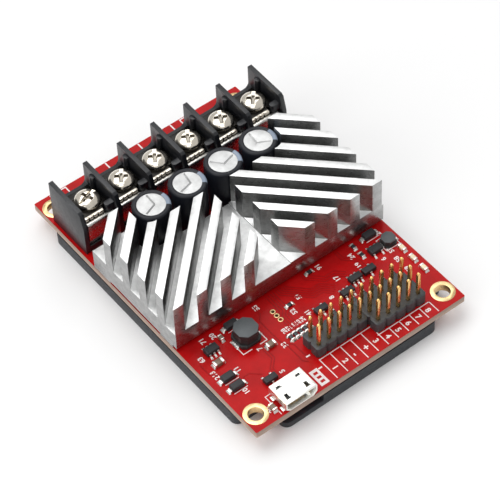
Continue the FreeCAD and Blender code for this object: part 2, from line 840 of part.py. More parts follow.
def inductor_feet(x, y, size):
    return [block(x + side * (size / 2 - 0.1), y, board_top, 0.7, size * 0.45, 0.3)
            for side in (-1, 1)]


inductor_lid = 0.24
inductor_waist = 0.9
large_inductor = (from_left(12.4), from_front(19.1), 4.9, 3.4, 4.7)
small_inductor = (from_right(2.8), from_front(20.15), 3.0, 1.6, 2.8)


def make_inductor_feet():
    feet = []
    for x, y, size, height, cap_size in (large_inductor, small_inductor):
        core = drum_inductor(x, y, size, height, cap_size)
        feet += [foot.cut(core) for foot in inductor_feet(x, y, size)]
    return group(feet)


# ---- everything ------------------------------------------------------------
def main():
    os.makedirs("parts", exist_ok=True)
    save("bottom_cover", make_bottom_cover())
    save("circuit_board", make_circuit_board())
    save("mounting_hole_rings", make_mounting_hole_rings())
    save("test_hole_rings", make_test_holes())
    save("heatsink", make_heatsink())
    save("fixing_screws", make_fixing_screws())
    save("thermal_pad", make_thermal_pad())
    save("power_transistors", make_power_transistors())
    save("current_shunts", make_current_shunts())
    save("microcontroller", make_microcontroller())
    save("gate_drivers", make_gate_drivers())
    for number, x in enumerate(capacitor_xs, 1):
        save("capacitor_can_%d" % number, make_capacitor_can(x))
        save("capacitor_sleeve_%d" % number, make_capacitor_sleeve(x))
    save("capacitor_bungs", group([make_capacitor_bung(x) for x in capacitor_xs]))
    save("terminal_housing", make_terminal_housing())
    for bay in range(terminal_count):
        save("terminal_contact_%d" % (bay + 1), make_contact(bay))
        save("wire_clamp_%d" % (bay + 1), make_clamp(bay))
        save("clamp_screw_%d" % (bay + 1), make_screw(bay))
    save("signal_header_housing", make_header_housing(signal_xs, signal_ys))
    save("signal_header_pins", make_header_pins(signal_xs, signal_ys))
    save("encoder_header_housing", make_header_housing(encoder_xs, encoder_ys))
    save("encoder_header_pins", make_header_pins(encoder_xs, encoder_ys))
    save("usb_shell", make_usb_shell())
    save("usb_tongue", make_usb_tongue())
    save("usb_contacts", make_usb_contacts())
    bodies, feet = small_chips()
    save("small_chips", group(bodies))
    save("small_chip_feet", group(feet))
    save("diodes", group([diode_body(x, y) for x, y in diode_places]))
    save("diode_end_caps", group([cap for x, y in diode_places for cap in diode_caps(x, y)]))
    middles, ceramic_ends = chip_set(ceramic_places, 0.9)
    save("ceramic_capacitors", group(middles))
    middles, resistor_ends = chip_set(resistor_places, 0.45)
    save("chip_resistors", group(middles))
    lamps, lamp_ends = chip_set([(x, y, 0.9, 1.8) for x, y in led_places], 0.7)
    save("status_leds", group(lamps))
    save("chip_end_caps", group(ceramic_ends + resistor_ends + lamp_ends))
    save("power_inductor", drum_inductor(*large_inductor))
    save("filter_inductor", drum_inductor(*small_inductor))
    save("inductor_feet", make_inductor_feet())


main()
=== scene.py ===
"""Looks of a two-channel motor driver module: red board, finned heatsink, screw terminals.

Metres, in the frame of the CAD model. Every operator makes one piece or one group of like pieces.
"""
import math
import bmesh
import bpy
from bpy.props import FloatProperty, FloatVectorProperty, PointerProperty
from mathutils import Matrix, Vector


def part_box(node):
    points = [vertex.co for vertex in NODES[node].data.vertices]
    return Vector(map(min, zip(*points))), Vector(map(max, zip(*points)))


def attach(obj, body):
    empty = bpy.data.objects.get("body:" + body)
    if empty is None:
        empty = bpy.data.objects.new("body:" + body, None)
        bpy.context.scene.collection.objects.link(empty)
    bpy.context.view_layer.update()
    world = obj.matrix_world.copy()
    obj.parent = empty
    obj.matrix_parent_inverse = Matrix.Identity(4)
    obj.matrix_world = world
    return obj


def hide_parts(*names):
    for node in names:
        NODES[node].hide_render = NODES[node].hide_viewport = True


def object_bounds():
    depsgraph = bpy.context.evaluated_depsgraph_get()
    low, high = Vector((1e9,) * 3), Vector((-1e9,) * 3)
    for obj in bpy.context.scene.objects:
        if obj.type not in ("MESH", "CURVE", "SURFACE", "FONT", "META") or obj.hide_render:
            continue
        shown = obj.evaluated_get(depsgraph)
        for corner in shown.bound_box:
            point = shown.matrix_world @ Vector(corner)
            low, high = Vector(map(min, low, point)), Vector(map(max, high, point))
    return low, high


bl_info = {
    "name": "Motor Driver Module",
    "version": (1, 0, 0),
    "blender": (4, 5, 0),
    "location": "3D View > Sidebar > Motor Driver",
    "description": "Builds a finned two-channel motor driver board",
    "category": "Object",
}

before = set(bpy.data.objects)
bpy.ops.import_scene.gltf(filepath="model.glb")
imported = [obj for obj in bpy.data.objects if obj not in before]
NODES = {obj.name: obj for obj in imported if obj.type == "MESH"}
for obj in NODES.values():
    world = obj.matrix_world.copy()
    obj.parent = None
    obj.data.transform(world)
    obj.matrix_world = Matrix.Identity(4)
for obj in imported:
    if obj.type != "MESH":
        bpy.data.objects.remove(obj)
CAD_LOW, CAD_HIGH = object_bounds()
MM = 0.001
BOARD_LOW, BOARD_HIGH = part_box("circuit_board")
BOARD_TOP = BOARD_HIGH.z
BAYS = range(1, 7)
CAPACITORS = range(1, 5)
HEADER_PITCH = 2.54                 # millimetres
SMOOTH_ANGLE = math.radians(32)


# ---- sizes and colours a user would change ----
def length(name, description, default):
    return FloatProperty(name=name, description=description, default=default,
                         subtype="DISTANCE", unit="LENGTH", precision=5)


def colour(name, description, default):
    return FloatVectorProperty(name=name, description=description, default=default,
                               subtype="COLOR", size=3, min=0.0, max=1.0)


class ModuleSizes(bpy.types.PropertyGroup):
    metal_edge: length("Metal edge", "Bevel along the heatsink's edges", 0.10 * MM)
    plastic_edge: length("Plastic edge", "Bevel along moulded edges", 0.14 * MM)
    sheet_edge: length("Sheet edge", "Bevel along stamped metal and small chips", 0.06 * MM)
    ink_height: length("Ink height", "Thickness of the printed marks", 0.025 * MM)
    ink_line: length("Ink line", "Width of a printed line", 0.20 * MM)
    track_width: length("Track width", "Width of a copper track", 0.26 * MM)
    track_height: length("Track height", "How far a track lifts the mask", 0.03 * MM)
    score_width: length("Score width", "Width of the vent score on a capacitor", 0.30 * MM)
    slot_width: length("Slot width", "Width of the slot in a clamp screw", 0.85 * MM)
    thread_pitch: length("Thread pitch", "Pitch of the clamp screws", 0.5 * MM)


class ModuleColours(bpy.types.PropertyGroup):
    mask: colour("Solder mask", "Glossy red of the board", (0.47, 0.004, 0.005))
    laminate: colour("Laminate", "Cut edge of the board", (0.50, 0.37, 0.30))
    ink: colour("Ink", "Printed marks", (0.86, 0.78, 0.77))
    gold: colour("Gold", "Plated rings", (0.80, 0.58, 0.30))
    pins: colour("Pins", "Gilded header pins", (0.95, 0.58, 0.22))
    aluminium: colour("Aluminium", "Heatsink and capacitor tops", (0.84, 0.845, 0.84))
    nickel: colour("Nickel", "Clamps and screws", (0.80, 0.74, 0.64))
    tin: colour("Tin", "Solder, feet and sheet metal", (0.80, 0.79, 0.76))
    black: colour("Black plastic", "Terminal block", (0.009, 0.010, 0.013))
    cover: colour("Cover plastic", "Bottom cover", (0.018, 0.021, 0.026))
    header: colour("Header plastic", "Pin header bodies", (0.045, 0.050, 0.054))
    epoxy: colour("Epoxy", "Chip bodies", (0.020, 0.019, 0.022))
    ferrite: colour("Ferrite", "Inductor bodies", (0.085, 0.095, 0.100))
    sleeve: colour("Sleeve", "Capacitor sleeves", (0.009, 0.010, 0.015))
    stripe: colour("Stripe", "Polarity stripe of a capacitor", (0.22, 0.27, 0.35))
    lens: colour("Lens", "Status lights", (0.86, 0.74, 0.52))
    ceramic: colour("Ceramic", "Ceramic capacitors", (0.20, 0.13, 0.09))
    shunt: colour("Shunt", "Current shunts", (0.50, 0.47, 0.44))
    steel: colour("Steel", "Shell of the USB socket", (0.90, 0.88, 0.83))
    resistor: colour("Resistor", "Glaze of the chip resistors", (0.022, 0.022, 0.026))
    rubber: colour("Rubber", "Seals of the capacitors", (0.02, 0.02, 0.02))
    pad: colour("Pad", "Thermal pad", (0.30, 0.36, 0.42))
    black_steel: colour("Black steel", "Fixing screws", (0.035, 0.035, 0.038))
    floor: colour("Floor", "Pale floor", (0.98, 0.98, 0.98))


def sizes():
    return bpy.context.scene.module_sizes


def colours():
    return bpy.context.scene.module_colours


# ---- modelling helpers ----
def select_nothing():
    if bpy.context.mode != "OBJECT":
        bpy.ops.object.mode_set(mode="OBJECT")
    bpy.ops.object.select_all(action="DESELECT")


def only(obj):
    """Makes obj the one selected and active object."""
    select_nothing()
    obj.select_set(True)
    bpy.context.view_layer.objects.active = obj


def edit(obj):
    only(obj)
    bpy.ops.object.mode_set(mode="EDIT")


def done():
    bpy.ops.object.mode_set(mode="OBJECT")


def extrude(x, y, z):
    bpy.ops.mesh.extrude_region_move(TRANSFORM_OT_translate={"value": (x, y, z)})


def pick_faces(obj, wanted):
    """Goes into edit mode with only the faces that pass the test selected."""
    edit(obj)
    bpy.ops.mesh.select_mode(type="FACE")
    bpy.ops.mesh.select_all(action="DESELECT")
    mesh = bmesh.from_edit_mesh(obj.data)
    for face in mesh.faces:
        if wanted(face):
            face.select_set(True)
    bmesh.update_edit_mesh(obj.data)


def start_primitive(name, adder, **options):
    """Adds a primitive with nothing else selected and gives it its name."""
    select_nothing()
    adder(**options)
    obj = bpy.context.object
    obj.name = obj.data.name = name
    return obj


def apply_modifier(obj, kind, **options):
    only(obj)
    modifier = obj.modifiers.new("shape", kind)
    for key, value in options.items():
        setattr(modifier, key, value)
    bpy.ops.object.modifier_apply(modifier=modifier.name)


def bevel(obj, width, segments=2, angle=30):
    apply_modifier(obj, "BEVEL", width=width, segments=segments, limit_method="ANGLE",
                   angle_limit=math.radians(angle), use_clamp_overlap=True)


def apply_place(obj):
    only(obj)
    bpy.ops.object.transform_apply(location=True, rotation=True, scale=True)


def join(pieces, name):
    only(pieces[0])
    for piece in pieces[1:]:
        piece.select_set(True)
    bpy.ops.object.join()
    whole = bpy.context.object
    whole.name = whole.data.name = name
    return whole


def merged_copy(node, name):
    """A copy of a CAD node with its loose triangles merged into clean faces."""
    obj = bpy.data.objects.new(name, NODES[node].data.copy())
    bpy.context.scene.collection.objects.link(obj)
    for key in list(obj.keys()):
        del obj[key]
    obj.data.materials.clear()
    edit(obj)
    bpy.ops.mesh.select_all(action="SELECT")
    bpy.ops.mesh.remove_doubles(threshold=0.0005 * MM)
    bpy.ops.mesh.customdata_custom_splitnormals_clear()
    bpy.ops.mesh.dissolve_limited(angle_limit=math.radians(0.5))
    done()
    return obj


def placed_copy(obj, name, place):
    """Another piece of the same shape, with its own mesh, moved by a matrix."""
    copy = bpy.data.objects.new(name, obj.data.copy())
    bpy.context.scene.collection.objects.link(copy)
    copy.data.transform(place)
    return copy


def remove(*pieces):
    for piece in pieces:
        bpy.data.objects.remove(piece)


def islands(node):
    """Lowest and highest corner of each separate solid of a CAD node."""
    copy = merged_copy(node, "islands")
    edit(copy)
    bpy.ops.mesh.separate(type="LOOSE")
    done()
    parts = list(bpy.context.selected_objects)
    boxes = []
    for part in parts:
        corners = [v.co for v in part.data.vertices]
        low = Vector([min(c[k] for c in corners) for k in range(3)])
        high = Vector([max(c[k] for c in corners) for k in range(3)])
        boxes.append((low, high))
    remove(*parts)
    return sorted(boxes, key=lambda b: (round(b[0].y, 5), round(b[0].x, 5)))


def middle(box):
    return (box[0] + box[1]) / 2


def turned(name, profile, x, y, sides=48):
    """A piece of rotation: a cone, then its top face drawn on through (radius, height) steps."""
    (r0, z0), (r1, z1) = profile[:2]
    obj = start_primitive(name, bpy.ops.mesh.primitive_cone_add, vertices=sides, radius1=r0,
                          radius2=r1, depth=z1 - z0, location=(x, y, (z0 + z1) / 2))
    apply_place(obj)
    pick_faces(obj, lambda face: face.normal.z > 0.9)
    radius, height = r1, z1
    for r, z in profile[2:]:
        extrude(0, 0, z - height)
        bpy.ops.transform.resize(value=(r / radius, r / radius, 1), center_override=(x, y, z))
        radius, height = r, z
    done()
    return obj


def carve(obj, tool):
    """Cuts one closed piece out of another."""
    apply_modifier(obj, "BOOLEAN", operation="DIFFERENCE", solver="EXACT", object=tool)
    remove(tool)


def long_box(name, centre, size, turn=0.0, tilt=0.0):
    """A bar, turned about Z after it is tilted about its own length."""
    turning = Matrix.Rotation(turn, 4, "Z") @ Matrix.Rotation(tilt, 4, "X")
    obj = start_primitive(name, bpy.ops.mesh.primitive_cube_add, size=1)
    obj.data.transform(Matrix.Translation(centre) @ turning @ Matrix.Diagonal((*size, 1)))
    return obj


def finish(obj, kind, replaces=(), body="root"):
    """Smooths a piece, gives it its material and its place in the module."""
    only(obj)
    bpy.ops.object.shade_smooth_by_angle(angle=SMOOTH_ANGLE)
    if kind:
        obj.data.materials.clear()
        obj.data.materials.append(material(kind))
    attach(obj, body)
    if replaces:
        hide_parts(*replaces)


def softened(node, name, width, kind, body="root", segments=2, angle=30):
    """A CAD node's merged copy with broken edges, finished in the node's place."""
    piece = merged_copy(node, name)
    bevel(piece, width, segments, angle)
    finish(piece, kind, [node], body)


# ---- materials ----
def link(tree, source, target):
    tree.links.new(source, target)


def grain_group():
    """Noise stretched between two values, as a value and as a height."""
    tree = bpy.data.node_groups.get("surface_grain")
    if tree:
        return tree
    tree = bpy.data.node_groups.new("surface_grain", "ShaderNodeTree")
    for name, kind, way in (("Vector", "Vector", "INPUT"), ("Scale", "Float", "INPUT"),
                            ("Low", "Float", "INPUT"), ("High", "Float", "INPUT"),
                            ("Value", "Float", "OUTPUT"), ("Height", "Float", "OUTPUT")):
        tree.interface.new_socket(name=name, in_out=way, socket_type="NodeSocket" + kind)
    inputs = tree.nodes.new("NodeGroupInput")
    outputs = tree.nodes.new("NodeGroupOutput")
    noise = tree.nodes.new("ShaderNodeTexNoise")
    noise.inputs["Detail"].default_value = 4
    noise.inputs["Roughness"].default_value = 0.6
    spread = tree.nodes.new("ShaderNodeMapRange")
    spread.inputs["From Min"].default_value = 0.32
    spread.inputs["From Max"].default_value = 0.68
    link(tree, inputs.outputs["Vector"], noise.inputs["Vector"])
    link(tree, inputs.outputs["Scale"], noise.inputs["Scale"])
    link(tree, noise.outputs["Fac"], spread.inputs["Value"])
    link(tree, inputs.outputs["Low"], spread.inputs["To Min"])
    link(tree, inputs.outputs["High"], spread.inputs["To Max"])
    link(tree, spread.outputs["Result"], outputs.inputs["Value"])
    link(tree, noise.outputs["Fac"], outputs.inputs["Height"])
    return tree


class Finish:
    """A material under construction: a Principled shader and shorthand for its nodes."""

    def __init__(self, name):
        self.material = bpy.data.materials.new(name)
        self.material.use_nodes = True
        self.tree = self.material.node_tree
        self.shader = self.tree.nodes["Principled BSDF"]
        self.coords = self.tree.nodes.new("ShaderNodeTexCoord").outputs["Object"]

    def set(self, **values):
        for key, value in values.items():
            socket = self.shader.inputs[key.replace("_", " ").title().replace("Ior", "IOR")]
            socket.default_value = value
        return self

    def stretched(self, x, y, z):
        mapping = self.tree.nodes.new("ShaderNodeMapping")
        mapping.inputs["Scale"].default_value = (x, y, z)
        link(self.tree, self.coords, mapping.inputs["Vector"])
        return mapping.outputs["Vector"]

    def grain(self, scale, low, high, vector=None):
        node = self.tree.nodes.new("ShaderNodeGroup")
        node.node_tree = grain_group()
        link(self.tree, vector or self.coords, node.inputs["Vector"])
        node.inputs["Scale"].default_value = scale
        node.inputs["Low"].default_value = low
        node.inputs["High"].default_value = high
        return node.outputs["Value"], node.outputs["Height"]

    def give(self, value, socket):
        """Links a socket to an input, or sets the input to a number or a colour triple."""
        if isinstance(value, bpy.types.NodeSocket):
            link(self.tree, value, socket)
        else:
            socket.default_value = (*value, 1) if socket.type == "RGBA" else value

    def mixed(self, amount, first, second):
        """Colour between two colours; each is a triple or a socket."""
        node = self.tree.nodes.new("ShaderNodeMix")
        node.data_type = "RGBA"
        link(self.tree, amount, node.inputs["Factor"])
        self.give(first, node.inputs[6])
        self.give(second, node.inputs[7])
        return node.outputs[2]

    def maths(self, kind, first, second):
        node = self.tree.nodes.new("ShaderNodeMath")
        node.operation = kind
        self.give(first, node.inputs[0])
        self.give(second, node.inputs[1])
        return node.outputs[0]

    def ramp(self, value, low, high, to_low=0.0, to_high=1.0):
        node = self.tree.nodes.new("ShaderNodeMapRange")
        link(self.tree, value, node.inputs["Value"])
        for key, number in (("From Min", low), ("From Max", high),
                            ("To Min", to_low), ("To Max", to_high)):
            node.inputs[key].default_value = number
        return node.outputs["Result"]

    def parts(self, vector):
        node = self.tree.nodes.new("ShaderNodeSeparateXYZ")
        link(self.tree, vector, node.inputs[0])
        return node.outputs

    def normal_z(self):
        """1 on faces that look up, 0 on upright ones, -1 on faces that look down."""
        geometry = self.tree.nodes.new("ShaderNodeNewGeometry")
        return self.parts(geometry.outputs["True Normal"])["Z"]

    def place(self):
        return self.parts(self.coords)

    def feed(self, name, socket):
        link(self.tree, socket, self.shader.inputs[name])
        return self

    def bump(self, height, distance, strength=0.4):
        node = self.tree.nodes.new("ShaderNodeBump")
        node.inputs["Strength"].default_value = strength
        node.inputs["Distance"].default_value = distance
        link(self.tree, height, node.inputs["Height"])
        link(self.tree, node.outputs["Normal"], self.shader.inputs["Normal"])
        return self


def shade(rgb, factor):
    return tuple(min(1.0, c * factor) for c in rgb)


def plain(name, rgb, low, high, scale, relief, metallic=0.0):
    """Plastic or metal with uneven gloss, slight colour change and a fine relief."""
    made = Finish(name).set(metallic=metallic)
    value, height = made.grain(scale, low, high)
    tone, _ = made.grain(scale / 7, 0, 1)
    made.feed("Base Color", made.mixed(tone, shade(rgb, 0.86), shade(rgb, 1.14)))
    made.feed("Roughness", value)
    return made.bump(height, relief)


# For each kind: material name, colour, factor on it, roughness low and high, grain scale, relief
# in millimetres and metallic.
PLAIN_KINDS = {
    "track": ("track_mask", "mask", 0.72, 0.30, 0.40, 900, 0.004, 0),
    "ink": ("white_ink", "ink", 1, 0.45, 0.60, 3000, 0.004, 0),
    "gold": ("ring_gold", "gold", 1, 0.24, 0.36, 2200, 0.006, 1),
    "pin": ("pin_gold", "pins", 1, 0.16, 0.28, 2600, 0.004, 1),
    # recess: the nickel at 0.42 of its brightness, painted shade inside the screws' cross recess.
    "recess": ("screw_recess", "nickel", 0.42, 0.25, 0.40, 1500, 0.004, 1),
    "nickel": ("screw_nickel", "nickel", 1, 0.12, 0.24, 1500, 0.003, 1),
    "tin": ("bright_tin", "tin", 1, 0.20, 0.36, 1800, 0.004, 1),
    "shunt": ("shunt_metal", "shunt", 1, 0.30, 0.45, 1500, 0.010, 1),
    "shell": ("socket_steel", "steel", 1, 0.26, 0.38, 1300, 0.008, 1),
    "can": ("can_aluminium", "aluminium", 0.64, 0.36, 0.50, 2600, 0.008, 1),
    "terminal": ("terminal_plastic", "black", 1, 0.28, 0.42, 1400, 0.012, 0),
    "cover": ("cover_plastic", "cover", 1, 0.44, 0.58, 2400, 0.020, 0),
    "header": ("header_plastic", "header", 1, 0.36, 0.50, 2200, 0.012, 0),
    "epoxy": ("chip_epoxy", "epoxy", 1, 0.45, 0.62, 3600, 0.012, 0),
    "ferrite": ("ferrite", "ferrite", 1, 0.42, 0.58, 3000, 0.015, 0),
    # winding and shade: ferrite at 0.18 of its colour on the inductors' sides, the dark winding
    # together with painted shade under the lid.
    "winding_and_painted_shade": ("ferrite_side", "ferrite", 0.18, 0.40, 0.60, 2000, 0.015, 0),
    "sleeve": ("sleeve_film", "sleeve", 1, 0.34, 0.46, 700, 0.012, 0),
    "stripe": ("sleeve_stripe", "stripe", 1, 0.30, 0.42, 700, 0.012, 0),
    "lens": ("cloudy_lens", "lens", 1, 0.20, 0.32, 1600, 0.004, 0),
    "ceramic": ("capacitor_ceramic", "ceramic", 1, 0.30, 0.45, 2600, 0.008, 0),
    "resistor": ("resistor_glaze", "resistor", 1, 0.16, 0.30, 2600, 0.006, 0),
    "rubber": ("seal_rubber", "rubber", 1, 0.60, 0.75, 1500, 0.020, 0),
    "pad": ("thermal_pad", "pad", 1, 0.60, 0.75, 1500, 0.020, 0),
    "black_steel": ("black_steel", "black_steel", 1, 0.32, 0.45, 1800, 0.010, 0.8),
}
# Values that a plain kind sets on its shader beside those.
MASK_SHINE = 0.13
SHADER_VALUES = {
    "track": {"specular_ior_level": MASK_SHINE},
    "terminal": {"specular_ior_level": 0.55},
    "sleeve": {"specular_ior_level": 0.3},
    "lens": {"subsurface_weight": 0.25, "subsurface_radius": (0.4 * MM, 0.3 * MM, 0.2 * MM)},
}


def plain_kind(kind):
    name, tint, factor, low, high, scale, relief, metallic = PLAIN_KINDS[kind]
    rgb = shade(getattr(colours(), tint), factor)
    made = plain(name, rgb, low, high, scale, relief * MM, metallic)
    return made.set(**SHADER_VALUES.get(kind, {}))


def heatsink_metal():
    """Machined sides that mirror, and tops left with a fine cloudy grain; the sides also get a
    darker copy of the aluminium colour as painted shade.
    """
    rgb = colours().aluminium
    made = Finish("heatsink_aluminium").set(metallic=1.0)
    streaks, _ = made.grain(900, 0.24, 0.38, made.stretched(1, 1, 6))
    cloud, height = made.grain(2600, 0.36, 0.5)
    up = made.ramp(made.normal_z(), 0.7, 0.95)
    tone, _ = made.grain(700, 0, 1)
    # Upright faces take the aluminium at about half its brightness: painted shade on the fin sides,
    # chosen by which way a face looks.
    tops = made.mixed(tone, shade(rgb, 0.88), shade(rgb, 1.08))
    sides = made.mixed(tone, shade(rgb, 0.42), shade(rgb, 0.56))
    made.feed("Base Color", made.mixed(up, sides, tops))
    blend = made.maths("ADD", made.maths("MULTIPLY", cloud, up),
                       made.maths("MULTIPLY", streaks, made.maths("SUBTRACT", 1.0, up)))
    made.feed("Roughness", blend)
    return made.bump(height, 0.012 * MM, 0.35)


def board_finish():
    """Red mask above and below, bare laminate round the cut edge."""
    tint = colours()
    made = Finish("board_laminate").set(specular_ior_level=MASK_SHINE)
    flat = made.ramp(made.maths("ABSOLUTE", made.normal_z(), 0), 0.5, 0.6)
    cloud, height = made.grain(260, 0, 1)
    mask = made.mixed(cloud, shade(tint.mask, 0.84), shade(tint.mask, 1.1))
    layers, _ = made.grain(500, 0, 1, made.stretched(1, 1, 9))
    edge = made.mixed(layers, shade(tint.laminate, 0.75), shade(tint.laminate, 1.2))
    rise = made.ramp(made.place()["Z"], BOARD_LOW.z, BOARD_TOP)
    edge = made.mixed(rise, edge, shade(tint.laminate, 0.62))
    made.feed("Base Color", made.mixed(flat, edge, mask))
    made.feed("Roughness", made.ramp(flat, 0, 1, 0.62, 0.26))
    return made.bump(height, 0.01 * MM, 0.2)


def metal_with_painted_dark_flats(name, rgb, shade_line):
    """Bright on upright faces and up to the shade line; the flats behind it get a near-black colour
    as painted shade and painted dark reflection.
    """
    made = Finish(name).set(metallic=1.0)
    value, height = made.grain(1600, 0.2, 0.36)
    # film and dark make the near-black colour of the painted shade and reflection on the flats;
    # film only spreads its darkness at random.
    film, _ = made.grain(600, 0.03, 0.10)
    dark = made.mixed(film, (0.02, 0.019, 0.018), shade(rgb, 0.25))
    behind = made.ramp(made.place()["Y"], shade_line - 0.1 * MM, shade_line + 0.1 * MM)
    flats = made.maths("MULTIPLY", made.ramp(made.normal_z(), 0.85, 0.97), behind)
    made.feed("Base Color", made.mixed(flats, rgb, dark))
    made.feed("Roughness", value)
    return made.bump(height, 0.003 * MM)


# Clamps and contacts: painted shade and dark reflection on the flats behind a line near the clamp's
# front.
def clamp_finish():
    return metal_with_painted_dark_flats("clamp_nickel", colours().nickel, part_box("wire_clamp_1")[0].y + 0.5 * MM)


def contact_finish():
    return metal_with_painted_dark_flats("contact_tin", colours().tin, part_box("wire_clamp_1")[0].y - 0.15 * MM)


OWN_KINDS = {"heatsink": heatsink_metal, "board": board_finish, "clamp": clamp_finish,
             "contact": contact_finish}
MADE = {}


def material(kind):
    """The material of that kind, made by its first user."""
    if kind not in MADE:
        made = OWN_KINDS[kind]() if kind in OWN_KINDS else plain_kind(kind)
        MADE[kind] = made.material
    return MADE[kind]


# ---- one operator for each piece ----
class PieceOperator(bpy.types.Operator):
    """Base of the operators that make a piece"""
    bl_options = {"REGISTER", "UNDO"}

    def execute(self, context):
        self.make(sizes())
        return {"FINISHED"}


class MODULE_OT_bottom_cover(PieceOperator):
    """Moulded tray under the board, with softened edges"""
    bl_idname = "module.bottom_cover"
    bl_label = "Bottom cover"

    def make(self, size):
        softened("bottom_cover", "moulded_cover", 1.6 * size.plastic_edge, "cover")


class MODULE_OT_heatsink(PieceOperator):
    """Finned heatsink with broken edges"""
    bl_idname = "module.heatsink"
    bl_label = "Heatsink"

    def make(self, size):
        softened("heatsink", "finned_heatsink", size.metal_edge, "heatsink")


class MODULE_OT_terminal_housing(PieceOperator):
    """Seven-wall terminal block housing"""
    bl_idname = "module.terminal_housing"
    bl_label = "Terminal housing"

    def make(self, size):
        softened("terminal_housing", "terminal_body", size.plastic_edge, "terminal")


class MODULE_OT_terminal_contacts(PieceOperator):
    """Bent contact plates of the terminal block"""
    bl_idname = "module.terminal_contacts"
    bl_label = "Terminal contacts"

    def make(self, size):
        for bay in BAYS:
            softened("terminal_contact_%d" % bay, "contact_plate_%d" % bay, size.sheet_edge,
                     "contact")


class MODULE_OT_wire_clamps(PieceOperator):
    """Toothed clamps under the screw heads"""
    bl_idname = "module.wire_clamps"
    bl_label = "Wire clamps"

    def make(self, size):
        for bay in BAYS:
            node = "wire_clamp_%d" % bay
            softened(node, "toothed_clamp_%d" % bay, size.sheet_edge, "clamp", node)


class MODULE_OT_clamp_screws(PieceOperator):
    """Domed nickel screws with a slot and a cross, and a threaded shank"""
    bl_idname = "module.clamp_screws"
    bl_label = "Clamp screws"
    slot_turns = (20, 55, 58, 58, 62, 50)       # degrees from X, one for each way
    shank = 1.45 * MM
    thread_depth = 0.16 * MM
    point = 0.35 * MM
    rim = 0.6 * MM
    dome_steps = 8
    dome_bend = math.radians(64)

    def make(self, size):
        low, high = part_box("clamp_screw_1")
        radius = (high.x - low.x) / 2
        model = turned("screw_model", self.profile(size, low.z, high.z, radius), 0, 0, 56)
        model.data.materials.append(material("nickel"))
        model.data.materials.append(material("recess"))
        self.cut_recess(model, size, high.z, radius)
        bevel(model, 0.05 * MM, angle=50)
        for bay, turn in zip(BAYS, self.slot_turns):
            node = "clamp_screw_%d" % bay
            centre = middle(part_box(node))
            place = Matrix.Translation((centre.x, centre.y, 0))
            turning = Matrix.Rotation(math.radians(turn), 4, "Z")
            screw = placed_copy(model, "domed_screw_%d" % bay, place @ turning)
            finish(screw, None, [node], node)
        remove(model)

    def profile(self, size, low, top, radius):
        """Point, threads, the head's flat underside, its rim and its dome."""
        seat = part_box("wire_clamp_1")[1].z + 0.05 * MM
        z = low + self.point
        steps = [(self.shank * 0.7, low), (self.shank, z)]
        while z + size.thread_pitch < seat - 0.1 * MM:
            root = self.shank - self.thread_depth
            steps += [(self.shank, z + 0.08 * MM), (root, z + 0.25 * MM),
                      (self.shank, z + 0.42 * MM), (self.shank, z + size.thread_pitch)]
            z += size.thread_pitch
        rim = seat + self.rim
        steps += [(self.shank, seat), (radius, seat + 0.001 * MM), (radius, rim)]
        for k in range(1, self.dome_steps + 1):
            bend = self.dome_bend * k / self.dome_steps
            rise = (top - rim) * math.sin(bend) / math.sin(self.dome_bend)
            steps.append((radius * math.cos(bend), rim + rise))
        return steps

    def cut_recess(self, model, size, top, radius):
        """A slot along X across the head, and a cross with tapered arms."""
        carve(model, long_box("slot", (0, 0, top), (radius * 2.4, size.slot_width, 1.1 * MM)))
        arm, depth = 1.95 * MM, 1.3 * MM
        for turn in (0, math.pi / 2):
            bar = long_box("arm", (0, 0, top + 0.2 * MM), (2 * arm, 1.0 * MM, 2 * depth), turn)
            pick_faces(bar, lambda face: face.normal.z < -0.9)
            bpy.ops.transform.resize(value=(0.55, 0.55, 1), center_override=(0, 0, top))
            done()
            # The cross's faces take the darkened nickel: painted shade in the recess.
            bar.data.materials.append(material("nickel"))
            bar.data.materials.append(material("recess"))
            for face in bar.data.polygons:
                face.material_index = 1
            carve(model, bar)


class MODULE_OT_capacitor_cans(PieceOperator):
    """Cans with a pressed vent score in the top"""
    bl_idname = "module.capacitor_cans"
    bl_label = "Capacitor cans"
    can_turns = (0, -8, -72, -118)              # degrees, one for each can
    score_arms = (75, 213)                      # degrees
    score_start = Vector((0.55 * MM, -0.4 * MM, 0))
    score_reach = 2.6                           # millimetres

    def make(self, size):
        for number, turn in zip(CAPACITORS, self.can_turns):
            node = "capacitor_can_%d" % number
            can = merged_copy(node, "scored_can_%d" % number)
            low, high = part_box(node)
            bevel(can, 0.40 * MM, 4, 40)
            top = Vector((*middle((low, high)).xy, high.z))
            start = Matrix.Rotation(math.radians(turn), 4, "Z") @ self.score_start
            for arm in self.score_arms:
                direction = math.radians(arm + turn)
                tip = Vector((math.cos(direction), math.sin(direction), 0))
                run = tip * self.score_reach * MM - start
                groove = long_box("groove", top + start + run / 2,
                                  (run.length, size.score_width, size.score_width),
                                  math.atan2(run.y, run.x), math.pi / 4)
                carve(can, groove)
            bevel(can, 0.05 * MM, angle=40)
            finish(can, "can", [node])


